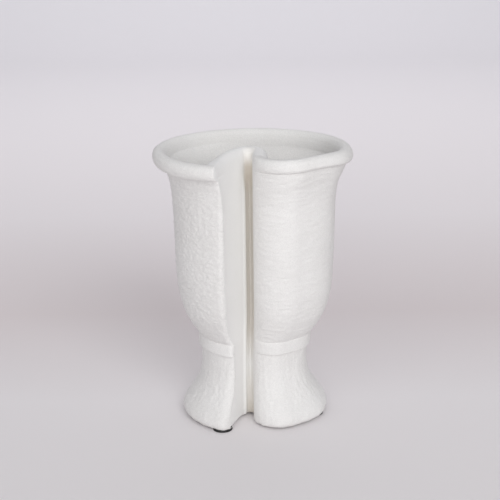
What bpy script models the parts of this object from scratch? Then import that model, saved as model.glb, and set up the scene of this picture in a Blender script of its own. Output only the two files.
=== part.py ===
"""A white stoneware vase with one deep vertical fold in its front wall.

The vase is a turned form: a flared foot, a collar band, a tall bowl and a rolled rim.
Its front was cut open and folded inward, so each turned piece is a C seen from above,
and one smooth slab, the cleft panel, closes the opening from top to bottom.
Units are metres, +Z is up, the ground is Z = 0 and the fold faces -Y.
"""

import math

import bmesh
import bpy
from mathutils import Vector

MM = 0.001

# ---- Driving dimensions ----
HEIGHT = 282 * MM
RIM_RADIUS = 100 * MM
COLLAR_RADIUS = 58.2 * MM
JOINT_GAP = 0.3 * MM

# The fold: its left wall is a flat radial face, its right wall is the plane X = 0.
CUT_ANGLE = math.radians(-22.8)
FOLD_RADIUS = 4.7 * MM

# The lobe to the right of the fold, as shares of the turned radius at each height.
LOBE_RADIUS = 0.34
LOBE_DEPTH = 0.47
SHOULDER_END = math.radians(70)

# Heights of the joints between the turned pieces.
FOOT_BASE = 3.0 * MM
FOOT_TOP = 76.0 * MM
COLLAR_BASE = FOOT_TOP + JOINT_GAP
COLLAR_TOP = 90.3 * MM
BOWL_BASE = COLLAR_TOP + JOINT_GAP
BOWL_TOP = 265.0 * MM
RIM_BASE = BOWL_TOP + JOINT_GAP

COLLAR_THICKNESS = 11.2 * MM
COLLAR_ROUND = 1.8 * MM
RIM_THICKNESS = 16 * MM
RIM_END_ANGLE = math.radians(72)
RIM_ROUNDNESS = 0.7

PLATE_THICKNESS = 8 * MM

PAD_RADIUS = 10 * MM
PAD_EDGE = 0.5 * MM
PAD_REACH = 63 * MM
PADS = {"pad_front": -32, "pad_right": 76, "pad_back": 202}

# Mesh fineness: steps along each stretch of the plan outline.
LOBE_STEPS = 12
SHOULDER_STEPS = 6
TURNED_STEPS = 44
FOLD_STEPS = 14
LEFT_WALL_STEPS = 5
RIGHT_WALL_STEPS = 3

# Half the depth of the box in front of and behind the axis differs by the cut's setback,
# so the turned axis sits a little in front of the middle of the whole vase.
AXIS_Y = -RIM_RADIUS * (1 - math.cos(CUT_ANGLE)) / 2

# Profile points of the turned walls: height, outer radius and wall thickness.
FOOT_PROFILE = (
    (FOOT_BASE, 69.0 * MM, 7.0 * MM),
    (4.3 * MM, 73.3 * MM, 11.3 * MM),
    (7.5 * MM, 75.4 * MM, 13.4 * MM),
    (13.8 * MM, 74.0 * MM, 12.0 * MM),
    (24.0 * MM, 68.2 * MM, 9.2 * MM),
    (37.0 * MM, 60.2 * MM, 8.2 * MM),
    (52.0 * MM, 55.6 * MM, 8.0 * MM),
    (64.0 * MM, 54.7 * MM, 8.0 * MM),
    (FOOT_TOP, 55.2 * MM, 8.0 * MM),
)
BOWL_PROFILE = (
    (BOWL_BASE, 59.5 * MM, 11.0 * MM),
    (98.0 * MM, 66.0 * MM, 9.6 * MM),
    (109.0 * MM, 72.0 * MM, 8.4 * MM),
    (122.0 * MM, 76.2 * MM, 8.0 * MM),
    (142.0 * MM, 79.2 * MM, 8.0 * MM),
    (175.0 * MM, 80.8 * MM, 8.0 * MM),
    (210.0 * MM, 81.6 * MM, 8.0 * MM),
    (234.0 * MM, 83.2 * MM, 8.0 * MM),
    (247.0 * MM, 85.8 * MM, 8.0 * MM),
    (257.0 * MM, 90.6 * MM, 8.0 * MM),
    (BOWL_TOP, 93.2 * MM, 8.6 * MM),
)


class Level:
    """One height of a piece: the turned radius there, and how far behind the outline of
    that radius the outer face and the inner face lie."""

    def __init__(self, height, radius, face, back):
        self.height = height
        self.radius = radius
        self.face = face
        self.back = back


def plain_levels(profile):
    return [Level(height, radius, 0, thickness) for height, radius, thickness in profile]


def collar_levels():
    """The collar's outer edge is eased at its top and bottom."""
    rows = (
        (COLLAR_BASE, COLLAR_ROUND),
        (COLLAR_BASE + COLLAR_ROUND, 0),
        (COLLAR_TOP - COLLAR_ROUND, 0),
        (COLLAR_TOP, COLLAR_ROUND),
    )
    return [Level(height, COLLAR_RADIUS, face, COLLAR_THICKNESS) for height, face in rows]


def rim_levels(count=7):
    """The rim is a fat roll: a rounded section with small flats above and below."""
    middle = (RIM_BASE + HEIGHT) / 2
    half_height = (HEIGHT - RIM_BASE) / 2
    half_width = RIM_THICKNESS / 2
    levels = []
    for i in range(count):
        angle = RIM_END_ANGLE * (2 * i / (count - 1) - 1)
        height = middle + half_height * math.sin(angle) / math.sin(RIM_END_ANGLE)
        spread = half_width * math.cos(angle) ** RIM_ROUNDNESS
        levels.append(Level(height, RIM_RADIUS, half_width - spread, half_width + spread))
    return levels


FOOT = plain_levels(FOOT_PROFILE)
COLLAR = collar_levels()
BOWL = plain_levels(BOWL_PROFILE)
RIM = rim_levels()


# ---- Plan geometry ----

def around(angle, reach):
    """A plan point at an angle from the front (-Y), counted towards +X."""
    return Vector((reach * math.sin(angle), -reach * math.cos(angle)))


def ease(share):
    return share * share * (3 - 2 * share)


def pressed_outline():
    """The pressed-in part of the walls' outline at radius 1, from the fold's right lip to
    the start of the round part: a list of (point, outward normal)."""
    lobe_centre = Vector((LOBE_RADIUS, -LOBE_DEPTH))
    crest_angle = math.atan2(LOBE_RADIUS, LOBE_DEPTH)
    crest_reach = lobe_centre.length + LOBE_RADIUS
    stations = []
    for i in range(LOBE_STEPS):
        turn = -math.pi / 2 + (crest_angle + math.pi / 2) * i / LOBE_STEPS
        normal = around(turn, 1)
        stations.append((lobe_centre + normal * LOBE_RADIUS, normal))

    def shoulder(share):
        angle = crest_angle + (SHOULDER_END - crest_angle) * share
        return around(angle, crest_reach + (1 - crest_reach) * ease(share))

    for i in range(SHOULDER_STEPS):
        share = i / SHOULDER_STEPS
        step = 0.01
        along = shoulder(min(share + step, 1)) - shoulder(max(share - step, 0))
        stations.append((shoulder(share), Vector((along.y, -along.x)).normalized()))

    return stations


PRESSED = pressed_outline()
CUT_DIRECTION = around(CUT_ANGLE, 1)
CUT_INWARD = Vector((CUT_DIRECTION.y, -CUT_DIRECTION.x))
FOLD_CENTRE = Vector((-FOLD_RADIUS, FOLD_RADIUS / math.tan(CUT_ANGLE / 2)))


def along_cut(reach, depth):
    """How far along the cut the circle of this reach lies, at this depth behind its face."""
    return math.sqrt(reach * reach - depth * depth)


def wall_line(radius, depth, clearance=0.0):
    """A turned wall's outline at some depth behind its outer face. It runs on round the
    right side, the back and the left side, and ends on the mitre where it meets the
    cleft panel, less a clearance."""
    points = [point * radius - normal * depth for point, normal in PRESSED]
    reach = radius - depth
    last = 2 * math.pi + CUT_ANGLE - math.asin((depth + clearance) / reach)
    for i in range(TURNED_STEPS + 1):
        points.append(around(SHOULDER_END + (last - SHOULDER_END) * i / TURNED_STEPS, reach))
    return points


def panel_line(reach, edge, depth):
    """The cleft panel's outline at some depth behind its smooth face: from its left end
    along the cut, round the back of the fold, and out along the right wall."""
    left_end = along_cut(reach, depth) - JOINT_GAP
    arc_start = -FOLD_CENTRE.y
    points = []
    for i in range(LEFT_WALL_STEPS):
        along = left_end + (arc_start - left_end) * i / LEFT_WALL_STEPS
        points.append(CUT_DIRECTION * along + CUT_INWARD * depth)
    first = math.atan2(CUT_INWARD.y, CUT_INWARD.x)
    for i in range(FOLD_STEPS):
        turn = first * (1 - i / FOLD_STEPS)
        ray = Vector((math.cos(turn), math.sin(turn)))
        points.append(FOLD_CENTRE + ray * (FOLD_RADIUS + depth))
    for i in range(RIGHT_WALL_STEPS + 1):
        y = FOLD_CENTRE.y + (-edge - FOLD_CENTRE.y) * i / RIGHT_WALL_STEPS
        points.append(Vector((depth, y)))
    return points


# ---- Solids ----

def at_height(points, height):
    return [point.to_3d() + Vector((0, 0, height)) for point in points]


def loft(name, rings):
    """Join closed rings of equal length into one solid. Each ring is its outer side
    followed by its inner side reversed, so opposite points pair up to close the ends."""
    mesh = bpy.data.meshes.new(name)
    work = bmesh.new()
    rows = [[work.verts.new(point) for point in ring] for ring in rings]
    count = len(rows[0])
    for lower, upper in zip(rows, rows[1:]):
        for i in range(count):
            j = (i + 1) % count
            work.faces.new((lower[i], lower[j], upper[j], upper[i]))
    for row in (rows[0], rows[-1]):
        for i in range(count // 2 - 1):
            work.faces.new((row[i], row[i + 1], row[count - 2 - i], row[count - 1 - i]))
    bmesh.ops.recalc_face_normals(work, faces=work.faces)
    work.to_mesh(mesh)
    work.free()
    return bpy.data.objects.new(name, mesh)


def turned_wall(name, levels):
    """A C-shaped wall: the same upright section at each station round the outline."""
    outer = [at_height(wall_line(v.radius, v.face, JOINT_GAP), v.height) for v in levels]
    inner = [at_height(wall_line(v.radius, v.back, JOINT_GAP), v.height) for v in levels]
    rings = []
    for station in range(len(outer[0])):
        outside = [line[station] for line in outer]
        inside = [line[station] for line in reversed(inner)]
        rings.append(outside + inside)
    return loft(name, rings)


def cleft_panel():
    """The folded slab, level by level. Its smooth face is flush over the whole height and
    only rounds over at the top of the rim."""
    levels = [Level(v.height, v.radius, v.face, v.back) for v in FOOT + COLLAR + BOWL + RIM]
    reaches = [v.radius - v.face for v in levels]
    edges = [v.radius * LOBE_DEPTH for v in levels]
    for i in range(1, len(levels)):
        if levels[i].height - levels[i - 1].height < 2 * JOINT_GAP:
            reaches[i - 1] = reaches[i] = min(reaches[i - 1 : i + 1])
            edges[i - 1] = edges[i] = min(edges[i - 1 : i + 1])
    rim_middle = (RIM_BASE + HEIGHT) / 2
    rings = []
    for level, reach, edge in zip(levels, reaches, edges):
        face = level.face if level.height > rim_middle else 0
        front_reach = level.radius - face if level.height > rim_middle else reach
        back_reach = min(level.radius - level.back, reach)
        front = panel_line(front_reach, edge - JOINT_GAP, face)
        back = panel_line(back_reach, edge - JOINT_GAP, level.back)
        rings.append(at_height(front + back[::-1], level.height))
    return loft("cleft_panel", rings)


def base_plate():
    """The floor of the vase: the cavity's outline just above the foot, filled and thick."""
    widest = max(FOOT, key=lambda level: level.radius)
    depth = widest.back + JOINT_GAP
    wall = wall_line(widest.radius, depth)
    panel = panel_line(widest.radius - depth, widest.radius * LOBE_DEPTH, depth)
    outline = at_height(wall + panel[1:-1], FOOT_BASE)
    mesh = bpy.data.meshes.new("base_plate")
    work = bmesh.new()
    work.faces.new([work.verts.new(point) for point in outline])
    bmesh.ops.recalc_face_normals(work, faces=work.faces)
    for face in work.faces:
        if face.normal.z > 0:
            face.normal_flip()
    work.to_mesh(mesh)
    work.free()
    plate = bpy.data.objects.new("base_plate", mesh)
    solid = plate.modifiers.new("thickness", "SOLIDIFY")
    solid.thickness = PLATE_THICKNESS
    solid.offset = -1
    return plate


def pad(name, angle):
    """A round rubber foot pad under the foot's rim."""
    height = FOOT_BASE - JOINT_GAP
    bpy.ops.mesh.primitive_cylinder_add(vertices=32, radius=PAD_RADIUS, depth=height)
    disc = bpy.context.object
    disc.name = name
    place = around(math.radians(angle), PAD_REACH)
    disc.location = (place.x, place.y, height / 2)
    edge = disc.modifiers.new("edge", "BEVEL")
    edge.width = PAD_EDGE
    edge.segments = 2
    edge.limit_method = "ANGLE"
    return disc


# ---- Materials ----

def matte(name, color, roughness):
    material = bpy.data.materials.new(name)
    material.use_nodes = True
    shader = material.node_tree.nodes["Principled BSDF"]
    shader.inputs["Base Color"].default_value = (*color, 1)
    shader.inputs["Roughness"].default_value = roughness
    shader.inputs["Metallic"].default_value = 0
    return material


def finish(piece, collection, axis, material):
    """Put a piece in the vase's collection, on its axis, with its own material."""
    for old in list(piece.users_collection):
        old.objects.unlink(piece)
    collection.objects.link(piece)
    piece.parent = axis
    piece.data.materials.append(material)
    piece.data.shade_smooth()
    piece.data.set_sharp_from_angle(angle=math.radians(40))


def main():
    for old in list(bpy.data.objects):
        bpy.data.objects.remove(old, do_unlink=True)
    collection = bpy.data.collections.new("folded_vase")
    bpy.context.scene.collection.children.link(collection)
    axis = bpy.data.objects.new("turned_axis", None)
    axis.location = (0, AXIS_Y, 0)
    collection.objects.link(axis)

    bisque = (0.80, 0.79, 0.77)
    smooth_slip = (0.82, 0.81, 0.78)
    ceramic = {
        turned_wall("foot_wall", FOOT): (bisque, 0.80),
        turned_wall("collar_band", COLLAR): (bisque, 0.75),
        turned_wall("bowl_wall", BOWL): (bisque, 0.80),
        turned_wall("rim_roll", RIM): (bisque, 0.70),
        cleft_panel(): (smooth_slip, 0.60),
        base_plate(): (bisque, 0.85),
    }
    for piece, (color, roughness) in ceramic.items():
        finish(piece, collection, axis, matte(piece.name, color, roughness))
    for name, angle in PADS.items():
        finish(pad(name, angle), collection, axis, matte(name, (0.015, 0.015, 0.015), 0.6))
    bpy.context.view_layer.update()


main()
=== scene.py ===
import math

import bpy
import numpy as np
from mathutils import Matrix, Vector
from mathutils.geometry import tessellate_polygon


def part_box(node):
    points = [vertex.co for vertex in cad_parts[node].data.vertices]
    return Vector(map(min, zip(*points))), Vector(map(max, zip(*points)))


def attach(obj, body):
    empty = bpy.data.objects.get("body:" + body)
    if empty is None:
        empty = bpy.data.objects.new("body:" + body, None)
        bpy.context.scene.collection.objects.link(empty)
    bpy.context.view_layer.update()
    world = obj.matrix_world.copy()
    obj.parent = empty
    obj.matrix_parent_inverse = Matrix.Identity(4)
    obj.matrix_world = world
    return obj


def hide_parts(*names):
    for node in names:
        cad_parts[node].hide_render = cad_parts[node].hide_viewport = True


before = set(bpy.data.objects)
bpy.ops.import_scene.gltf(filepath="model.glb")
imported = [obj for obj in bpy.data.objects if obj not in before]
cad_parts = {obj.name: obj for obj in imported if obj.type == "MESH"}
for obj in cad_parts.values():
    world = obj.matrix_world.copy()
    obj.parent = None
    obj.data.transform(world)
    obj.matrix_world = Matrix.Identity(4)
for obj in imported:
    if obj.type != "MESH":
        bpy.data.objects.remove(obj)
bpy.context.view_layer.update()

MM = 0.001

# ---- The frame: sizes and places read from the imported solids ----

rim_low, rim_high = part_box("rim_roll")
collar_low, collar_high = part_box("collar_band")
plate_low, plate_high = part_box("base_plate")

CUT_ANGLE = math.radians(-22.8)
RIM_RADIUS = (rim_high.x - rim_low.x) / 2
AXIS_Y = -RIM_RADIUS * (1 - math.cos(CUT_ANGLE)) / 2
HEIGHT = rim_high.z
RIM_MIDDLE = (rim_low.z + rim_high.z) / 2
RIM_HALF = (rim_high.z - rim_low.z) / 2

FOLD_RADIUS = 4.7 * MM
FOLD_CENTRE = np.array([-FOLD_RADIUS, FOLD_RADIUS / math.tan(CUT_ANGLE / 2)])
LOBE_RADIUS = 0.34
LOBE_DEPTH = 0.47
SHOULDER_END = math.radians(70)
RIM_THICKNESS = 16 * MM
COLLAR_RADIUS = 58.2 * MM
COLLAR_THICKNESS = 11.2 * MM
COLLAR_EDGE = 1.9 * MM
EDGE_ROWS = 6
FLAT_ROWS = 9

# Profiles: height, outer radius and wall thickness, in millimetres. The foot and the bowl run
# a little into the collar and the roll, so no joint shows as a gap.
FOOT_PROFILE = (
    (2.4, 67.0, 5.0),
    (2.5, 71.0, 9.6),
    (4.0, 73.6, 12.4),
    (7.5, 75.2, 13.4),
    (13.8, 73.7, 12.0),
    (24.0, 66.9, 9.2),
    (37.0, 58.8, 8.2),
    (52.0, 54.9, 8.0),
    (64.0, 54.3, 8.0),
    (76.0, 55.0, 8.0),
    (80.0, 55.4, 8.0),
)
BOWL_PROFILE = (
    (86.0, 55.0, 7.0),
    (90.6, 58.3, 9.4),
    (98.0, 63.8, 8.4),
    (109.0, 70.2, 8.0),
    (122.0, 75.2, 8.0),
    (142.0, 78.9, 8.0),
    (175.0, 80.6, 8.0),
    (210.0, 81.3, 8.0),
    (234.0, 82.5, 8.0),
    (247.0, 84.8, 8.0),
    (257.0, 89.2, 8.0),
    (265.0, 92.4, 8.2),
    (270.0, 93.2, 8.6),
)

# How the fold's left face changes on its way up: height, direction of the face in degrees,
# rounding of the outer corner and hollow of the face, in millimetres.
FACE_PROFILE = (
    (0.0, -22.8, 9.0, 0.4),
    (40.0, -22.8, 7.0, 0.6),
    (72.0, -22.4, 4.5, 0.9),
    (88.0, -22.7, 4.0, 1.0),
    (101.0, -25.4, 4.4, 1.2),
    (130.0, -23.7, 4.6, 1.4),
    (175.0, -22.9, 4.6, 1.8),
    (215.0, -22.3, 4.2, 2.2),
    (243.0, -22.1, 3.4, 2.6),
    (256.0, -22.0, 2.4, 2.8),
    (266.0, -22.3, 1.8, 2.8),
    (274.0, -21.3, 1.6, 2.8),
    (290.0, -20.8, 1.6, 2.8),
)

# The reach over which that hollow is spread: height and reach, in millimetres.
FACE_REACH = ((0, 74), (20, 72), (50, 58), (85, 58), (120, 74), (240, 84), (268, 95), (290, 97))


# ---- Small maths ----

SPAN_STEPS = 24  # points between two rows of a profile, before it is resampled
NOISE_CELLS = 32
NOISE_GAIN = 1.6
NOISE_TURN = 0.6  # radians about Z, so the cells don't line up with the axes


def smoothstep(low, high, value):
    share = np.clip((value - low) / (high - low), 0, 1)
    return share * share * (3 - 2 * share)


def smooth_curve(rows, steps):
    """A Catmull-Rom curve through rows of numbers, resampled evenly by its own length."""
    rows = np.array(rows, float)
    padded = np.vstack([2 * rows[0] - rows[1], rows, 2 * rows[-1] - rows[-2]])
    parts = []
    for i in range(len(rows) - 1):
        a, b, c, d = padded[i : i + 4]
        t = np.linspace(0, 1, SPAN_STEPS, endpoint=False)[:, None]
        parts.append(
            0.5 * (2 * b + (c - a) * t + (2 * a - 5 * b + 4 * c - d) * t**2
                   + (3 * b - a - 3 * c + d) * t**3)
        )
    parts.append(rows[-1:])
    curve = np.vstack(parts)
    lengths = np.linalg.norm(np.diff(curve[:, :2], axis=0), axis=1)
    run = np.concatenate([[0], np.cumsum(lengths)])
    even = np.linspace(0, run[-1], steps)
    return np.stack([np.interp(even, run, curve[:, k]) for k in range(rows.shape[1])], axis=1)


def gradient_noise(points, seed):
    """Perlin-style noise, about -1 to 1, at points given in cells, shape (..., 3)."""
    table = np.random.RandomState(seed).normal(size=(NOISE_CELLS, NOISE_CELLS, NOISE_CELLS, 3))
    table /= np.linalg.norm(table, axis=-1, keepdims=True)
    flat = points.reshape(-1, 3)
    cell = np.floor(flat).astype(int)
    part = flat - cell
    blend = part * part * part * (part * (part * 6 - 15) + 10)
    total = np.zeros(len(flat))
    for corner in np.ndindex(2, 2, 2):
        corner = np.array(corner)
        slope = table[tuple(((cell + corner) % NOISE_CELLS).T)]
        weight = np.prod(np.where(corner, blend, 1 - blend), axis=1)
        total += weight * np.einsum("ij,ij->i", slope, part - corner)
    return (total * NOISE_GAIN).reshape(points.shape[:-1])


# Layers of noise: width and height of their grains in metres, and a seed.
WANDERING = (0.09, 0.07, 3)
DABS = (0.0027, 0.0017, 11)
COARSE_DABS = (0.0055, 0.0030, 12)
LINES = (0.013, 0.0017, 21)
BROAD_LINES = (0.045, 0.0046, 22)
LINE_BREAKS = (0.010, 0.006, 23)
STREAKS = (0.0032, 0.016, 31)
BROAD_STREAKS = (0.0085, 0.030, 32)
RINGS = (0.11, 0.0085, 41)
INSIDE_GRAIN = (0.004, 0.004, 42)
WIPE_MARKS = (0.012, 0.09, 51)
SOFT_MARKS = (0.03, 0.02, 52)


def stretched_noise(points, across, upward, seed):
    """Noise whose grains are this wide across and this tall, both in metres."""
    turned = points @ np.array(Matrix.Rotation(NOISE_TURN, 3, "Z")).T
    return gradient_noise(turned / np.array([across, across, upward]), seed)


# ---- Plan geometry, as in the CAD model: angles count from the front toward +X ----

TABLE_STEPS = 300
FACE_TABLE = smooth_curve(FACE_PROFILE, TABLE_STEPS)
BOWL_TABLE = smooth_curve(BOWL_PROFILE, TABLE_STEPS) * MM
LEAST_FILLET = 1.3 * MM
LIP_FLARE = (226 * MM, 274 * MM)
PRESSED_STEPS = (56, 40)  # along the lobe and the shoulder
FILLET_STEPS = 8
SLOPE_STEP = 0.002
LOBE_ARC = 2.2  # length of the lobe's outline, in lobe radii

# Where the wall leaves the fold's right lip it has the lip's outline; further round it takes its
# own. Share of its own outline, and the run along the wall over which that share comes in.
OWN_OUTLINE = ((0.62, 4 * MM, 26 * MM), (0.38, 60 * MM, 100 * MM))


def around(angle, reach):
    return np.stack([reach * np.sin(angle), -reach * np.cos(angle)], axis=-1)


def face_at(height):
    """Direction of the fold's left face, its inward normal, corner rounding and hollow."""
    heights, *columns = FACE_TABLE.T
    angle, rounding, hollow = (np.interp(height / MM, heights, column) for column in columns)
    angle = math.radians(angle)
    return around(angle, 1.0), around(angle - math.pi / 2, 1.0), rounding * MM, hollow * MM


def corner_fillet(height, reach, face_depth):
    """Middle and radius of the rounding between the turned wall and the left face."""
    along, inward, rounding, _ = face_at(height)
    fillet = max(rounding - face_depth, LEAST_FILLET)
    aside = FOLD_CENTRE @ inward + FOLD_RADIUS + face_depth + fillet
    ahead = math.sqrt((reach - fillet) ** 2 - aside**2)
    return ahead, ahead * along + aside * inward, fillet


def lip_radius(height, radius):
    """The outline's radius at the fold's right lip, where the wall flares smoothly up to the
    rim with no roll standing out."""
    if height < LIP_FLARE[0]:
        return radius
    bowl = np.interp(height, *BOWL_TABLE[:, :2].T)
    return bowl + (RIM_RADIUS - bowl) * smoothstep(*LIP_FLARE, height)


def pressed_line(radius, depth):
    """Lobe and shoulder, depth behind an outline of this radius."""
    centre = np.array([LOBE_RADIUS, -LOBE_DEPTH]) * radius
    crest_angle = math.atan2(LOBE_RADIUS, LOBE_DEPTH)
    crest_reach = math.hypot(LOBE_RADIUS, LOBE_DEPTH) + LOBE_RADIUS
    turn = np.linspace(-math.pi / 2, crest_angle, PRESSED_STEPS[0], endpoint=False)
    lobe = centre + around(turn, LOBE_RADIUS * radius - depth)

    def shoulder(t):
        reach = crest_reach + (1 - crest_reach) * smoothstep(0, 1, t)
        return around(crest_angle + (SHOULDER_END - crest_angle) * t, reach * radius)

    share = np.linspace(0, 1, PRESSED_STEPS[1], endpoint=False)
    slope = shoulder(share + SLOPE_STEP) - shoulder(share - SLOPE_STEP)
    normal = np.stack([slope[:, 1], -slope[:, 0]], axis=1)
    normal /= np.linalg.norm(normal, axis=1, keepdims=True)
    return np.vstack([lobe, shoulder(share) - normal * depth])


def wall_line(height, radius, depth, face_depth, turned_steps):
    """The wall's outline, depth behind its face: from the fold's right lip over the lobe and
    shoulder, round the back and over the left corner to the edge of the smooth face."""
    pressed = pressed_line(radius, depth)
    lip = pressed_line(lip_radius(height, radius), face_depth)
    run = np.arange(len(pressed)) / PRESSED_STEPS[0] * LOBE_ARC * LOBE_RADIUS * radius
    own = sum(share * smoothstep(start, end, run) for share, start, end in OWN_OUTLINE)
    pressed = lip + (pressed - lip) * own[:, None]

    ahead, middle, fillet = corner_fillet(height, radius - depth, face_depth)
    last = math.atan2(middle[0], -middle[1])
    face_turn = math.atan2(*(face_at(height)[1] * (-1, 1)))
    turned = around(np.linspace(SHOULDER_END, last + 2 * math.pi, turned_steps), radius - depth)
    bend = middle + around(np.linspace(last, face_turn, FILLET_STEPS + 1)[1:], fillet)
    return np.vstack([pressed, turned, bend])


# ---- Shape of the fired pot: its departures from a true turning ----

# Places in plan, as shares of the rim's radius, and how far each one's pull spreads, in metres.
RIGHT_FRONT = ((0.68, -0.62), 0.060)
LEFT_FRONT = ((-0.62, -0.72), 0.045)
LIP_FRONT = ((-0.05, -0.92), 0.055)
FOLD_MIDDLE = ((-0.02, -0.33), 0.030)

RIM_LIFT = 2.8 * MM
RIM_DIP = 0.9 * MM
ROLL_THINNED = (0.48, 0.22)  # share taken off the roll's lower half: right front, lip
WANDER = 0.4 * MM
CENTRE_HELD = (20 * MM, 50 * MM)  # the walls wander only outside this reach
ASIDE = 1.5 * MM
FOOT_TO_BOWL = (0.2 * HEIGHT, 0.42 * HEIGHT)
UP_TO_NECK = (0.85 * HEIGHT, 0.93 * HEIGHT)
NECK_TOP = 265 * MM
NECK_IN = 2.8 * MM
NECK_OUT = 0.8 * MM


def bulge(points, place, spread):
    """1 at a place in plan, falling off smoothly over the spread."""
    gap = np.linalg.norm(points[..., :2] - np.array(place) * RIM_RADIUS, axis=-1)
    return np.exp(-((gap / spread) ** 2))


def settle(points):
    """Warp turned points into the fired pot: the rim rides up and thins at the right front and
    dips a little at the left front, the bowl stands a little off centre, the neck is drawn in
    on the left, and the walls wander."""
    out = points.copy()
    across, height = points[..., 0], points[..., 2]
    reach = np.linalg.norm(points[..., :2], axis=-1, keepdims=True)
    outward = points[..., :2] / np.maximum(reach, 1e-6)
    held = smoothstep(*CENTRE_HELD, reach[..., 0])

    right = bulge(points, *RIGHT_FRONT)
    lift = RIM_LIFT * right - RIM_DIP * bulge(points, *LEFT_FRONT)
    rise = smoothstep(0.6 * HEIGHT, HEIGHT, height)
    below = np.clip(RIM_MIDDLE - height, 0, RIM_HALF)
    thinned = ROLL_THINNED[0] * right + ROLL_THINNED[1] * bulge(points, *LIP_FRONT)
    thinned *= below * smoothstep(RIM_MIDDLE - 4 * RIM_HALF, rim_low.z, height)
    out[..., 2] += lift * rise + thinned

    wander = stretched_noise(points, *WANDERING) * WANDER
    out[..., :2] += outward * (wander * held)[..., None]

    bowl = smoothstep(*FOOT_TO_BOWL, height)
    fold = bulge(points, *FOLD_MIDDLE)
    shifted = bowl * smoothstep(HEIGHT, 0.93 * HEIGHT, height) * (1 - fold)
    out[..., 0] += ASIDE * (shifted - fold * (1 - bowl))

    neck = smoothstep(*UP_TO_NECK, height) * smoothstep(NECK_TOP + 2 * MM, NECK_TOP, height)
    left_side = smoothstep(0, 0.5 * RIM_RADIUS, -across)
    right_side = smoothstep(0.5 * RIM_RADIUS, RIM_RADIUS, across)
    drawn_in = (NECK_IN * left_side - NECK_OUT * right_side) * neck
    out[..., :2] -= outward * (drawn_in * held)[..., None]
    return out


# ---- Relief of the clay, in metres ----

def angle_of(points):
    """Degrees from the front, positive to the right, -180 to 180."""
    return np.degrees(np.arctan2(points[..., 0], -points[..., 1]))


def sponge(points):
    """Dabbed bumps, a few millimetres across and a little wider than tall."""
    fine = stretched_noise(points, *DABS)
    coarse = stretched_noise(points, *COARSE_DABS)
    return (0.46 * np.tanh(1.8 * fine) + 0.34 * coarse) * MM


def throwing_lines(points):
    """Fine level ridges left by the fingers, wavering and broken along their length."""
    lines = stretched_noise(points, *LINES)
    broad = stretched_noise(points, *BROAD_LINES)
    breaks = 0.8 + 0.5 * stretched_noise(points, *LINE_BREAKS)
    return (0.48 * lines + 0.36 * broad) * breaks * MM


def brushed_down(points):
    """Upright streaks where the foot was wiped from the collar to the ground."""
    streaks = stretched_noise(points, *STREAKS)
    broad = stretched_noise(points, *BROAD_STREAKS)
    return (0.40 * streaks + 0.20 * broad) * MM


def bowl_relief(points):
    """Sponge marks on the left and at the back, throwing lines on the right, and a little of
    each in the other."""
    angle = angle_of(points)
    dabbed = np.clip(smoothstep(20, -30, angle) + smoothstep(95, 150, angle), 0, 1)
    dabs, lines = sponge(points), throwing_lines(points)
    return dabbed * (dabs + 0.45 * lines) + (1 - dabbed) * (lines + 0.30 * dabs)


def foot_relief(points):
    return brushed_down(points) + 0.5 * sponge(points)


def rim_relief(points):
    return 0.45 * throwing_lines(points) + 0.40 * sponge(points)


def collar_relief(points):
    return 0.5 * throwing_lines(points) + 0.3 * sponge(points)


def inside_relief(points):
    """Broad finger rings left in the cavity by throwing."""
    rings = stretched_noise(points, *RINGS)
    grain = stretched_noise(points, *INSIDE_GRAIN)
    return (0.22 * rings + 0.05 * grain) * MM


def wiped_relief(points):
    """The smooth face: only the long soft marks of a damp sponge drawn downward."""
    drawn = stretched_noise(points, *WIPE_MARKS)
    soft = stretched_noise(points, *SOFT_MARKS)
    return (0.10 * drawn + 0.10 * soft) * MM


# ---- Meshes ----

SHARP_ANGLE = math.radians(50)


def link_mesh(name, points, faces):
    """A smooth-shaded object, moved from the turning axis to its place in the frame."""
    mesh = bpy.data.meshes.new(name)
    mesh.from_pydata(points + np.array([0, AXIS_Y, 0]), [], faces)
    mesh.validate()
    mesh.shade_smooth()
    mesh.set_sharp_from_angle(angle=SHARP_ANGLE)
    piece = bpy.data.objects.new(name, mesh)
    bpy.context.scene.collection.objects.link(piece)
    return piece


def zipped(first, second):
    """Triangles between two chains of points that run alongside each other."""
    faces = []
    i = j = 0
    while i < len(first) - 1 or j < len(second) - 1:
        if j == len(second) - 1 or (
            i < len(first) - 1 and (i + 1) * (len(second) - 1) <= (j + 1) * (len(first) - 1)
        ):
            faces.append([first[i], first[i + 1], second[j]])
            i += 1
        else:
            faces.append([first[i], second[j + 1], second[j]])
            j += 1
    return faces


def grid_solid(name, grid, outer_count):
    """One closed mesh from a grid, shape (sections, points, 3). Each section runs up its outer
    side, outer_count points long, and back down its inner side; both ends are closed."""
    count, points = grid.shape[:2]
    index = np.arange(count * points).reshape(count, points)
    ahead = np.roll(index, -1, axis=1)
    skin = np.stack([index[:-1], index[1:], ahead[1:], ahead[:-1]], axis=-1).reshape(-1, 4)
    first, last = index[0].tolist(), index[-1].tolist()
    start = zipped(first[:outer_count], first[outer_count:][::-1])
    end = [face[::-1] for face in zipped(last[:outer_count], last[outer_count:][::-1])]
    return link_mesh(name, grid.reshape(-1, 3), skin.tolist() + start + end)


def grid_normals(grid):
    """Outward unit normals of a grid whose sections close round."""
    along = np.gradient(grid, axis=0)
    across = np.roll(grid, -1, axis=1) - np.roll(grid, 1, axis=1)
    normal = np.cross(along, across)
    return normal / np.maximum(np.linalg.norm(normal, axis=-1, keepdims=True), 1e-12)


# Runs along a turned wall over which its relief comes in at the lip and goes at its left end.
LIP_FADE = (5 * MM, 17 * MM)
END_FADE = (0.2 * MM, 2.2 * MM)

# Steps round each piece's turned part, from the shoulder round the back to the left corner.
TURNED_STEPS = {"foot": 260, "bowl": 300, "collar": 250, "rim": 370, "plate": 160}


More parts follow.
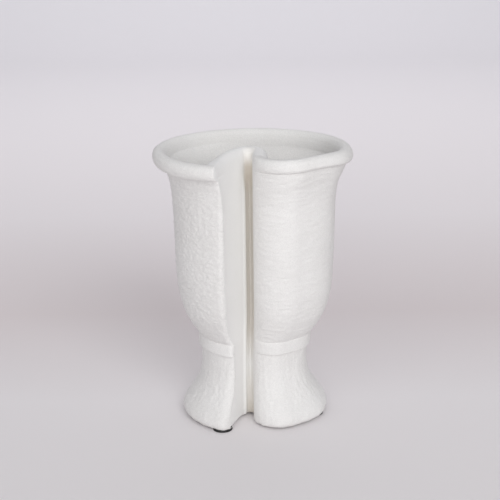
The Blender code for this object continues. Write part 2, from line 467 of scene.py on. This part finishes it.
def turned_piece(name, outer, inner, relief):
    """A C-shaped turned wall with surface relief. outer and inner are rows of height, outline
    radius, depth behind it, and how far its left end stops short of the fold's face; outer
    runs up the outside, inner back down the inside."""
    rows = np.vstack([outer, inner])
    lines = [wall_line(*row, TURNED_STEPS[name]) for row in rows]
    grid = np.stack([np.column_stack([line, np.full(len(line), row[0])])
                     for line, row in zip(lines, rows)], axis=1)
    normals = grid_normals(grid)
    steps = np.linalg.norm(np.diff(grid[..., :2], axis=0), axis=-1)
    run = np.vstack([np.zeros(len(rows)), np.cumsum(steps, axis=0)])
    left = run[-1] - run
    outside = np.arange(len(rows)) < len(outer)
    fade = smoothstep(*LIP_FADE, run) * smoothstep(*END_FADE, left)
    bumps = np.where(outside, relief(grid), inside_relief(grid)) * fade
    return grid_solid(name, settle(grid + normals * bumps[..., None]), len(outer))


def flush(profile):
    """A profile's outer side, cut off at the fold's face."""
    return np.column_stack([profile[:, :2], np.zeros((len(profile), 2))])


def mitred(profile):
    """A profile's inner side, which meets the cleft panel's back."""
    return np.column_stack([profile[:, :3], profile[:, 2]])


# Rows up the walls outside, how many of them there are to each one inside, and how far the
# bowl's top is tucked in under the roll.
FOOT_ROWS = 84
BOWL_ROWS = 186
FOOT_THINNING = 3
BOWL_THINNING = 5
BOWL_TUCK = 1.8 * MM
TUCK_HEIGHTS = (265 * MM, 267 * MM)


def foot_piece():
    outer = smooth_curve(FOOT_PROFILE, FOOT_ROWS) * MM
    inner = outer[::-1][::FOOT_THINNING]
    return turned_piece("foot", flush(outer), mitred(inner), foot_relief)


def bowl_piece():
    outer = smooth_curve(BOWL_PROFILE, BOWL_ROWS) * MM
    face = flush(outer)
    face[:, 2:] = BOWL_TUCK * smoothstep(*TUCK_HEIGHTS, outer[:, :1])
    inner = outer[::-1][::BOWL_THINNING]
    return turned_piece("bowl", face, mitred(inner), bowl_relief)


def collar_section():
    """Heights up the collar's side and how far its rounded edges fall back from its radius."""
    low, high, edge = collar_low.z, collar_high.z, COLLAR_EDGE
    turn = np.linspace(0, math.pi / 2, EDGE_ROWS)
    rise, back = edge * (1 - np.cos(turn)), edge * (1 - np.sin(turn))
    lower = np.column_stack([low + rise, back])
    flat = np.linspace(low + edge, high - edge, FLAT_ROWS)
    middle = np.column_stack([flat, np.zeros(FLAT_ROWS)])
    upper = np.column_stack([high - rise, back])[::-1]
    return np.vstack([lower, middle[1:-1], upper])


def collar_piece():
    section = collar_section()
    radius = np.full(len(section), COLLAR_RADIUS)
    outer = np.column_stack([section[:, 0], radius, section[:, 1], np.zeros(len(section))])
    inner = outer[::-1].copy()
    inner[:, 2:] = COLLAR_THICKNESS
    return turned_piece("collar", outer, inner, collar_relief)


ROLL_STEPS = 26
ROLL_FULLNESS = 0.75  # below 1, the roll's section is fuller than a circle
ROLL_ENDS = 0.05  # radians left open at its top and bottom

# The roll's inner side: share of the way down it, and how far it lies behind the roll's middle,
# as a share of half its thickness.
ROLL_INSIDE = (
    (0.0, 0.06),
    (0.06, 0.34),
    (0.15, 0.52),
    (0.30, 0.72),
    (0.55, 0.88),
    (0.80, 0.96),
    (1.0, 0.99),
)

# Share of the roll's rounding kept where the fold's left face cuts it off.
CUT_ROUND = 0.3


def roll_side():
    """The roll's section: heights up its side and how far its face stands off the middle."""
    top = math.pi / 2 - ROLL_ENDS
    turn = np.linspace(-top, top, ROLL_STEPS)
    return RIM_MIDDLE + RIM_HALF * np.sin(turn), np.cos(turn) ** ROLL_FULLNESS


def roll_inside(height):
    """How far the roll's inner side lies behind its middle as it slopes down into the bowl."""
    fall = (HEIGHT - height) / (2 * RIM_HALF)
    return RIM_THICKNESS / 2 * np.interp(fall, *zip(*ROLL_INSIDE))


def rim_piece():
    """The roll: round outside, and sloping down into the bowl inside."""
    heights, stand = roll_side()
    radius = np.full(ROLL_STEPS, RIM_RADIUS)
    half = RIM_THICKNESS / 2
    depth = half - half * stand
    cut = np.where(heights > RIM_MIDDLE, CUT_ROUND * depth, 0)
    outer = np.column_stack([heights, radius, depth, cut])
    behind = half + roll_inside(heights)
    inner = np.column_stack([heights, radius, behind, behind])
    return turned_piece("rim", outer, inner[::-1], rim_relief)


# ---- The cleft panel ----

UNDERLAP = 1.2 * MM  # how far the panel runs under the turned walls at both ends
INSET = 0.25 * MM  # and how far it lies behind them there

# The fold's depth in plan: where clay was pushed in from the left to narrow it, and where it
# runs deeper: centre, push and spread.
FOLD_PUSHES = (((-9.0, -21.6), (1.6, -0.3), 2.6), ((-3.0, -18.8), (-0.2, 3.6), 2.8))
FOLD_WIDE = (236 * MM, 262 * MM)
FOLD_DEEP = (4 * MM, 60 * MM)
HOLLOW_FADE = 10 * MM


def narrowed(line, height):
    """The fold's front line with its left side pushed in and its back deepened, both below the
    rim, the second also above the foot."""
    below_rim = 1 - smoothstep(*FOLD_WIDE, height)
    pushed = line.copy()
    for (centre, push, spread), share in zip(FOLD_PUSHES, (1, smoothstep(*FOLD_DEEP, height))):
        gap = np.linalg.norm(line / MM - np.array(centre), axis=1)
        amount = np.exp(-((gap / spread) ** 2)) * below_rim * share
        pushed += amount[:, None] * np.array(push) * MM
    return pushed


def rounded_drop(run, radius):
    """How far a rounding of this radius falls away, run past its tangent point."""
    run = np.clip(run, 0, 0.95 * radius)
    return radius - np.sqrt(radius**2 - run**2)


def panel_line(height, reach, lip, depths, steps):
    """The panel's outline behind its smooth face: the left face out to the reach of the turned
    wall, the fold's round back, and the right wall out to the lip. It runs a little under the
    turned walls at both ends."""
    along, inward, _, hollow = face_at(height)
    face_steps, arc_steps, wall_steps = steps
    ahead, _, fillet = corner_fillet(height, reach, depths[0])
    fold_ahead = FOLD_CENTRE @ along
    lap = min(UNDERLAP, 0.7 * fillet)
    t = np.linspace(ahead + lap, fold_ahead, face_steps, endpoint=False)
    widest = np.interp(height / MM, *zip(*FACE_REACH)) * MM
    share = np.clip((widest - t) / (widest - fold_ahead), 0, 1)
    hollow = hollow * np.sin(math.pi * share**0.9) * smoothstep(0, HOLLOW_FADE, widest - t)
    under = rounded_drop(t - ahead, fillet) + INSET * smoothstep(0, lap, t - ahead)
    aside = FOLD_CENTRE @ inward + FOLD_RADIUS + under + hollow + depths[:face_steps]
    face = t[:, None] * along + aside[:, None] * inward

    first = math.atan2(inward[1], inward[0])
    turn = np.linspace(first % (2 * math.pi), 0, arc_steps, endpoint=False)
    round_reach = FOLD_RADIUS + depths[face_steps : face_steps + arc_steps]
    arc = FOLD_CENTRE + np.column_stack([round_reach * np.cos(turn), round_reach * np.sin(turn)])

    front = LOBE_DEPTH * lip
    y = np.linspace(FOLD_CENTRE[1], -front - UNDERLAP, wall_steps)
    past = -y - front
    under = rounded_drop(past, LOBE_RADIUS * lip) + INSET * smoothstep(0, UNDERLAP, past)
    return np.vstack([face, arc, np.column_stack([depths[-wall_steps:] + under, y])])


PANEL_STEPS = (84, 30, 26)  # along the left face, the fold's round back and the right wall
PANEL_ROWS = (56, 120)  # up the foot and the bowl
BASE_ROUND = 3.2 * MM
LEAST_REACH = 30 * MM


def panel_rows():
    """Rows up the panel: height, reach of its left edge, lip radius, wall thickness and how far
    its top stands open, 1 below the roll's middle and falling to 0 at the crest."""
    foot = smooth_curve(FOOT_PROFILE[1:-1], PANEL_ROWS[0]) * MM
    bowl = smooth_curve(BOWL_PROFILE[1:-1], PANEL_ROWS[1]) * MM
    rows = [(z, radius, radius, thickness, 1.0) for z, radius, thickness in foot]
    for z, drop in collar_section():
        rows.append((z, COLLAR_RADIUS - drop, COLLAR_RADIUS, COLLAR_THICKNESS, 1.0))
    rows += [(z, radius, radius, thickness, 1.0) for z, radius, thickness in bowl]
    half = RIM_THICKNESS / 2
    for z, stand in zip(*roll_side()):
        reach = RIM_RADIUS - half + half * stand
        rows.append((z, reach, RIM_RADIUS, RIM_THICKNESS, stand if z > RIM_MIDDLE else 1.0))
    return rows


# The hood along the panel's line, from its left edge to the lip: share of the line, extra
# thickness and extra height, in millimetres.
HOOD_PROFILE = (
    (0.0, 0.0, 0.0),
    (0.22, 0.0, 0.3),
    (0.42, 0.8, 2.0),
    (0.56, 3.0, 2.1),
    (0.66, 3.0, 1.7),
    (0.74, 1.4, 1.7),
    (0.82, 0.4, 1.6),
    (0.91, 0.4, 1.0),
    (1.0, 0.0, 0.0),
)
HOOD_STEPS = 200
HOOD_FOOT = 45 * MM

# Shares of the panel's line over which its relief comes in and goes, its top changes from the
# cut-off left edge to the full roll, and the rounding of its bottom edge is eased off.
RELIEF_IN = (0.01, 0.06)
RELIEF_OUT = (1, 0.96)
CUT_END = (0, 0.45)
BASE_EASED = (0.4, 0.6)


def panel_piece():
    """The smooth cleft panel. Its top rolls over into a hood that spreads back over the fold."""
    count = sum(PANEL_STEPS)
    share = np.linspace(0, 1, count)
    table = smooth_curve(HOOD_PROFILE, HOOD_STEPS)
    extra, crest = (np.interp(share, table[:, 0], column) * MM for column in table[:, 1:].T)
    rolled = CUT_ROUND + (1 - CUT_ROUND) * smoothstep(*CUT_END, share)
    rows = panel_rows()
    fronts, backs = [], []
    for height, reach, radius, thickness, stand in rows:
        half = thickness / 2
        base = rounded_drop(np.array([rows[0][0] + BASE_ROUND - height]), BASE_ROUND + 0.2 * MM)
        base = base * (1 - 0.75 * smoothstep(*BASE_EASED, share))
        behind = roll_inside(height) if height > rim_low.z else half
        cover = min((HEIGHT - height) / RIM_HALF, 1)
        spread = behind + extra * cover**0.8 * smoothstep(HEIGHT - HOOD_FOOT, RIM_MIDDLE, height)
        lip = lip_radius(height, radius)
        front = panel_line(height, reach, lip, half * (1 - stand) * rolled + base, PANEL_STEPS)
        back_reach = max(reach - thickness * 0.9 * stand, LEAST_REACH)
        back = panel_line(height, back_reach, lip, half + spread, PANEL_STEPS)
        level = height + crest * smoothstep(HEIGHT - HOOD_FOOT, HEIGHT, height)
        fronts.append(np.column_stack([narrowed(front, height), level]))
        backs.append(np.column_stack([back, level]))
    grid = np.array(fronts + backs[::-1]).transpose(1, 0, 2)
    fade = np.minimum(smoothstep(*RELIEF_IN, share), smoothstep(*RELIEF_OUT, share))
    bumps = wiped_relief(grid) * fade[:, None]
    return grid_solid("panel", settle(grid + grid_normals(grid) * bumps[..., None]), len(rows))


# ---- Floor of the vase and pads ----

PLATE_RADIUS = 75.4 * MM
PLATE_DEPTH = 13.0 * MM
PLATE_EDGE = 0.6 * MM
PLATE_STEPS = (30, 20, 12)  # along the same three stretches as PANEL_STEPS
WALL_ENDS = 2  # points of the panel's line left out at each end, where the wall's line is

# The pad's section: inward from its radius and down from its top, then up from its foot, in
# millimetres.
PAD_TOP = ((1.3, 0.0), (0.7, 0.15), (0.3, 0.6))
PAD_FOOT = ((0.0, 0.5), (0.15, 0.12), (0.6, 0.0))
PAD_STEPS = 72


def plate_piece():
    """The floor: a level slab filling the foot's cavity, its upper edge eased."""
    middle = (plate_low.z + plate_high.z) / 2
    levels = ((0, plate_low.z), (0, plate_high.z - PLATE_EDGE), (PLATE_EDGE, plate_high.z))
    rings = []
    for inset, z in levels:
        depth = PLATE_DEPTH + inset
        wall = wall_line(middle, PLATE_RADIUS, depth, depth, TURNED_STEPS["plate"])
        depths = np.full(sum(PLATE_STEPS), depth)
        panel = panel_line(middle, PLATE_RADIUS - depth, PLATE_RADIUS, depths, PLATE_STEPS)
        line = np.vstack([wall, panel[WALL_ENDS:-WALL_ENDS]])
        rings.append(np.column_stack([line, np.full(len(line), z)]))
    grid = np.stack(rings)
    index = np.arange(grid.shape[0] * grid.shape[1]).reshape(grid.shape[:2])
    ahead = np.roll(index, -1, axis=1)
    sides = np.stack([index[:-1], ahead[:-1], ahead[1:], index[1:]], axis=-1)
    faces = sides.reshape(-1, 4).tolist()
    lid = tessellate_polygon([[Vector(point) for point in rings[-1].tolist()]])
    faces += [index[-1][list(corner)].tolist() for corner in lid]
    faces += [index[0][list(corner[::-1])].tolist() for corner in lid]
    return link_mesh("floor_plate", grid.reshape(-1, 3), faces)


def pad_piece(node):
    """A moulded rubber pad: a turned disc with eased edges, a hair narrower at its top."""
    low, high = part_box(node)
    radius = (high.x - low.x) / 2
    tall = high.z - low.z
    profile = [(0, tall)]
    profile += [(radius - inward * MM, tall - down * MM) for inward, down in PAD_TOP]
    profile += [(radius - inward * MM, up * MM) for inward, up in PAD_FOOT]
    profile.append((0, 0))
    edges = [(i, i + 1) for i in range(len(profile) - 1)]
    mesh = bpy.data.meshes.new(node)
    mesh.from_pydata([(r, 0, z) for r, z in profile], edges, [])
    piece = bpy.data.objects.new("rubber_" + node, mesh)
    piece.location = ((low.x + high.x) / 2, (low.y + high.y) / 2, low.z)
    bpy.context.scene.collection.objects.link(piece)
    screw = piece.modifiers.new("turn", "SCREW")
    screw.steps = screw.render_steps = PAD_STEPS
    screw.use_merge_vertices = True
    screw.merge_threshold = 0.01 * MM
    return piece


# ---- Materials ----

CLOUD_SCALE = 22
GRAIN_SCALE = 900
PORE_SCALE = 800
RUBBER_SCALE = 1500
ROUGHNESS = (0.62, 0.86)


def node_tools(material):
    """The material's tree, its shader, and a function that adds a node with its inputs set."""
    material.use_nodes = True
    tree = material.node_tree

    def add(kind, inputs=(), **settings):
        node = tree.nodes.new(kind)
        for key, value in settings.items():
            setattr(node, key, value)
        for key, value in dict(inputs).items():
            node.inputs[key].default_value = value
        return node

    return tree, tree.nodes["Principled BSDF"], add


def set_stops(ramp, stops):
    """Give a colour ramp its stops, rows of position and colour."""
    elements = ramp.color_ramp.elements
    while len(elements) < len(stops):
        elements.new(0.5)
    for element, (position, color) in zip(elements, stops):
        element.position = position
        element.color = color


def stoneware(name, dark, light, fine_bump, speckle):
    """Matt white ceramic: faint cloudy tone, fine grain, and a little bump below the mesh."""
    material = bpy.data.materials.new(name)
    tree, shader, add = node_tools(material)
    link = tree.links.new
    place = add("ShaderNodeNewGeometry")
    cloud = add("ShaderNodeTexNoise", {"Scale": CLOUD_SCALE, "Detail": 5})
    link(place.outputs["Position"], cloud.inputs["Vector"])
    tone = add("ShaderNodeValToRGB")
    set_stops(tone, ((0.30, dark), (0.72, light)))
    link(cloud.outputs["Fac"], tone.inputs["Fac"])
    grain = add("ShaderNodeTexNoise", {"Scale": GRAIN_SCALE, "Detail": 3})
    link(place.outputs["Position"], grain.inputs["Vector"])
    dots = add("ShaderNodeMapRange", {"From Min": 0.3, "From Max": 0.7,
                                      "To Min": 1 - speckle, "To Max": 1 + speckle * 0.4})
    link(grain.outputs["Fac"], dots.inputs["Value"])
    mix = add("ShaderNodeMix", {"Factor": 1}, data_type="RGBA", blend_type="MULTIPLY")
    link(tone.outputs["Color"], mix.inputs["A"])
    link(dots.outputs["Result"], mix.inputs["B"])
    link(mix.outputs["Result"], shader.inputs["Base Color"])
    rough = add("ShaderNodeMapRange", {"To Min": ROUGHNESS[0], "To Max": ROUGHNESS[1]})
    link(cloud.outputs["Fac"], rough.inputs["Value"])
    link(rough.outputs["Result"], shader.inputs["Roughness"])
    shader.inputs["Specular IOR Level"].default_value = 0.35
    bump = add("ShaderNodeBump", {"Distance": fine_bump})
    pores = add("ShaderNodeTexNoise", {"Scale": PORE_SCALE, "Detail": 4})
    link(place.outputs["Position"], pores.inputs["Vector"])
    link(pores.outputs["Fac"], bump.inputs["Height"])
    link(bump.outputs["Normal"], shader.inputs["Normal"])
    return material


# Painted shade down the bottom of the fold, a warm tan darkening like the fold's own shade and the
# light bounced between its walls: its middle in plan, the reach over which it fades, its tint, and
# its strength up the pot, as rows of share of the height and share of the tint.
CREASE_SHADE_MIDDLE = (-3.0 * MM, -18.4 * MM + AXIS_Y, 0)
CREASE_SHADE_FADE = (3.2 * MM, 8.6 * MM)
CREASE_SHADE_TINT = (0.72, 0.665, 0.59, 1)
CREASE_SHADE_STRENGTH = (
    (0.0, 0.95),
    (0.08, 0.5),
    (0.20, 0.08),
    (0.34, 0.6),
    (0.84, 0.7),
    (0.90, 1.0),
    (0.94, 1.0),
    (0.97, 0.4),
    (1.0, 0.25),
)


def paint_crease_shade(material):
    """Paint shade into the bottom of the fold as a warm tan tint, most under the hood and at the
    ground, least in the foot's neck."""
    tree, shader, add = node_tools(material)
    link = tree.links.new
    clay = shader.inputs["Base Color"].links[0].from_socket
    place = add("ShaderNodeNewGeometry")
    split = add("ShaderNodeSeparateXYZ")
    link(place.outputs["Position"], split.inputs["Vector"])
    flat = add("ShaderNodeCombineXYZ")
    link(split.outputs["X"], flat.inputs["X"])
    link(split.outputs["Y"], flat.inputs["Y"])
    gap = add("ShaderNodeVectorMath", {1: CREASE_SHADE_MIDDLE}, operation="DISTANCE")
    link(flat.outputs["Vector"], gap.inputs[0])
    near = add("ShaderNodeMapRange", {"From Min": CREASE_SHADE_FADE[0], "From Max": CREASE_SHADE_FADE[1],
                                      "To Min": 1, "To Max": 0})
    link(gap.outputs["Value"], near.inputs["Value"])
    rise = add("ShaderNodeMapRange", {"From Max": HEIGHT})
    link(split.outputs["Z"], rise.inputs["Value"])
    amount = add("ShaderNodeValToRGB")
    set_stops(amount, [(position, (share, share, share, 1)) for position, share in CREASE_SHADE_STRENGTH])
    link(rise.outputs["Result"], amount.inputs["Fac"])
    both = add("ShaderNodeMath", operation="MULTIPLY")
    link(near.outputs["Result"], both.inputs[0])
    link(amount.outputs["Color"], both.inputs[1])
    tint = add("ShaderNodeMix", data_type="RGBA", blend_type="MULTIPLY")
    tint.inputs["B"].default_value = CREASE_SHADE_TINT
    link(both.outputs["Value"], tint.inputs["Factor"])
    link(clay, tint.inputs["A"])
    link(tint.outputs["Result"], shader.inputs["Base Color"])


def black_rubber():
    material = bpy.data.materials.new("black_rubber")
    tree, shader, add = node_tools(material)
    link = tree.links.new
    place = add("ShaderNodeNewGeometry")
    grain = add("ShaderNodeTexNoise", {"Scale": RUBBER_SCALE})
    link(place.outputs["Position"], grain.inputs["Vector"])
    tone = add("ShaderNodeValToRGB")
    set_stops(tone, ((0, (0.010, 0.010, 0.010, 1)), (1, (0.022, 0.021, 0.020, 1))))
    link(grain.outputs["Fac"], tone.inputs["Fac"])
    link(tone.outputs["Color"], shader.inputs["Base Color"])
    shader.inputs["Roughness"].default_value = 0.55
    bump = add("ShaderNodeBump", {"Distance": 0.06 * MM})
    link(grain.outputs["Fac"], bump.inputs["Height"])
    link(bump.outputs["Normal"], shader.inputs["Normal"])
    return material


def dress(piece, material, node):
    """Give a piece its material and body, in place of its CAD node."""
    piece.data.materials.clear()
    piece.data.materials.append(material)
    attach(piece, "root")
    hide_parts(node)


# ---- Stage: backdrop, lights, camera ----

# The backdrop, in metres: half its width, its front edge, where its curve starts, the curve's
# radius and rows, and its height.
SHEET_HALF_WIDTH = 5.0
SHEET_FRONT = -3.0
SHEET_BACK = 2.6
SHEET_BEND = 1.2
SHEET_BEND_ROWS = 40
SHEET_HEIGHT = 4.0
SHEET_SPAN = (-0.5, 3.5)  # Y over which its tone changes
SHEET_TONES = (
    (0.0, (0.81, 0.78, 0.785, 1)),
    (0.13, (0.86, 0.83, 0.84, 1)),
    (0.20, (0.74, 0.68, 0.685, 1)),
    (0.32, (0.79, 0.755, 0.77, 1)),
    (1.0, (0.72, 0.71, 0.74, 1)),
)


def backdrop():
    """A pale sheet: level floor, a long curve up and a wall behind. It is a little darker just
    behind the pot and lightens toward the wall."""
    side = [(SHEET_FRONT, 0.0)]
    for turn in np.linspace(0, math.pi / 2, SHEET_BEND_ROWS):
        side.append((SHEET_BACK + SHEET_BEND * math.sin(turn), SHEET_BEND * (1 - math.cos(turn))))
    side.append((SHEET_BACK + SHEET_BEND, SHEET_HEIGHT))
    points = [(x, y, z) for x in (-SHEET_HALF_WIDTH, SHEET_HALF_WIDTH) for y, z in side]
    count = len(side)
    faces = [(i, count + i, count + i + 1, i + 1) for i in range(count - 1)]
    mesh = bpy.data.meshes.new("backdrop")
    mesh.from_pydata(points, [], faces)
    mesh.shade_smooth()
    sheet = bpy.data.objects.new("backdrop", mesh)
    bpy.context.scene.collection.objects.link(sheet)
    material = bpy.data.materials.new("backdrop")
    tree, shader, add = node_tools(material)
    link = tree.links.new
    place = add("ShaderNodeNewGeometry")
    split = add("ShaderNodeSeparateXYZ")
    link(place.outputs["Position"], split.inputs["Vector"])
    span = add("ShaderNodeMapRange", {"From Min": SHEET_SPAN[0], "From Max": SHEET_SPAN[1]})
    link(split.outputs["Y"], span.inputs["Value"])
    tone = add("ShaderNodeValToRGB")
    set_stops(tone, SHEET_TONES)
    link(span.outputs["Result"], tone.inputs["Fac"])
    link(tone.outputs["Color"], shader.inputs["Base Color"])
    shader.inputs["Roughness"].default_value = 0.9
    mesh.materials.append(material)


# Square lights: name, place and size in metres, power in watts, and colour.
WHITE = (1, 1, 1)
LIGHTS = (
    ("key", (0.98, -2.88, 1.80), 1.5, 37, WHITE),
    ("fill", (-1.45, -2.45, 1.95), 1.4, 7, WHITE),
    ("fold", (-0.25, -2.80, 0.85), 1.0, 14, WHITE),
    ("wall", (0.0, 1.2, 2.8), 2.0, 52, (1.0, 0.99, 1.0)),
)
WALL_LIGHT_TILT = math.radians(61)
WORLD_COLOR = (0.97, 0.97, 1.0, 1)
WORLD_STRENGTH = 0.44


def lights():
    """A large soft key from the right front, a weaker fill from the left, a small one into the
    fold, one on the wall behind and pale surroundings. All but the wall's are aimed at the
    middle of the pot."""
    for name, place, size, power, color in LIGHTS:
        data = bpy.data.lights.new(name, "AREA")
        data.size = size
        data.energy = power
        data.color = color
        lamp = bpy.data.objects.new(name, data)
        lamp.location = place
        aim = Vector((0, 0, HEIGHT / 2)) - Vector(place)
        lamp.rotation_euler = aim.to_track_quat("-Z", "Y").to_euler()
        bpy.context.scene.collection.objects.link(lamp)
    bpy.data.objects["wall"].rotation_euler = (WALL_LIGHT_TILT, 0, 0)
    world = bpy.data.worlds.new("studio")
    world.use_nodes = True
    background = world.node_tree.nodes["Background"]
    background.inputs["Color"].default_value = WORLD_COLOR
    background.inputs["Strength"].default_value = WORLD_STRENGTH
    bpy.context.scene.world = world


CAMERA_PLACE = (-0.0033, -1.211 + AXIS_Y, 0.535)
CAMERA_TILT = math.radians(16.6)
CAMERA_ROLL = math.radians(0.74)
CAMERA_LENS = 89.1


def camera():
    """The photo's viewpoint, looking down on the pot."""
    data = bpy.data.cameras.new("camera")
    data.sensor_width = 36
    data.lens = CAMERA_LENS
    rig = bpy.data.objects.new("camera", data)
    turn = Matrix.Rotation(math.pi / 2 - CAMERA_TILT, 4, "X")
    turn = turn @ Matrix.Rotation(-CAMERA_ROLL, 4, "Z")
    rig.matrix_world = Matrix.Translation(CAMERA_PLACE) @ turn
    bpy.context.scene.collection.objects.link(rig)
    bpy.context.scene.camera = rig


camera()
backdrop()
lights()

textured = stoneware("textured_stoneware", dark=(0.835, 0.823, 0.805, 1),
                     light=(0.875, 0.866, 0.850, 1), fine_bump=0.28 * MM, speckle=0.07)
smooth = stoneware("smooth_stoneware", dark=(0.905, 0.900, 0.885, 1),
                   light=(0.930, 0.925, 0.912, 1), fine_bump=0.05 * MM, speckle=0.02)
# painted warm shade down the fold's crease, on the smooth material
paint_crease_shade(smooth)
rubber = black_rubber()
dress(rim_piece(), textured, "rim_roll")
dress(bowl_piece(), textured, "bowl_wall")
dress(collar_piece(), textured, "collar_band")
dress(foot_piece(), textured, "foot_wall")
dress(panel_piece(), smooth, "cleft_panel")
dress(plate_piece(), textured, "base_plate")
for node in ("pad_front", "pad_right", "pad_back"):
    dress(pad_piece(node), rubber, node)

bpy.context.scene.view_settings.view_transform = "Standard"
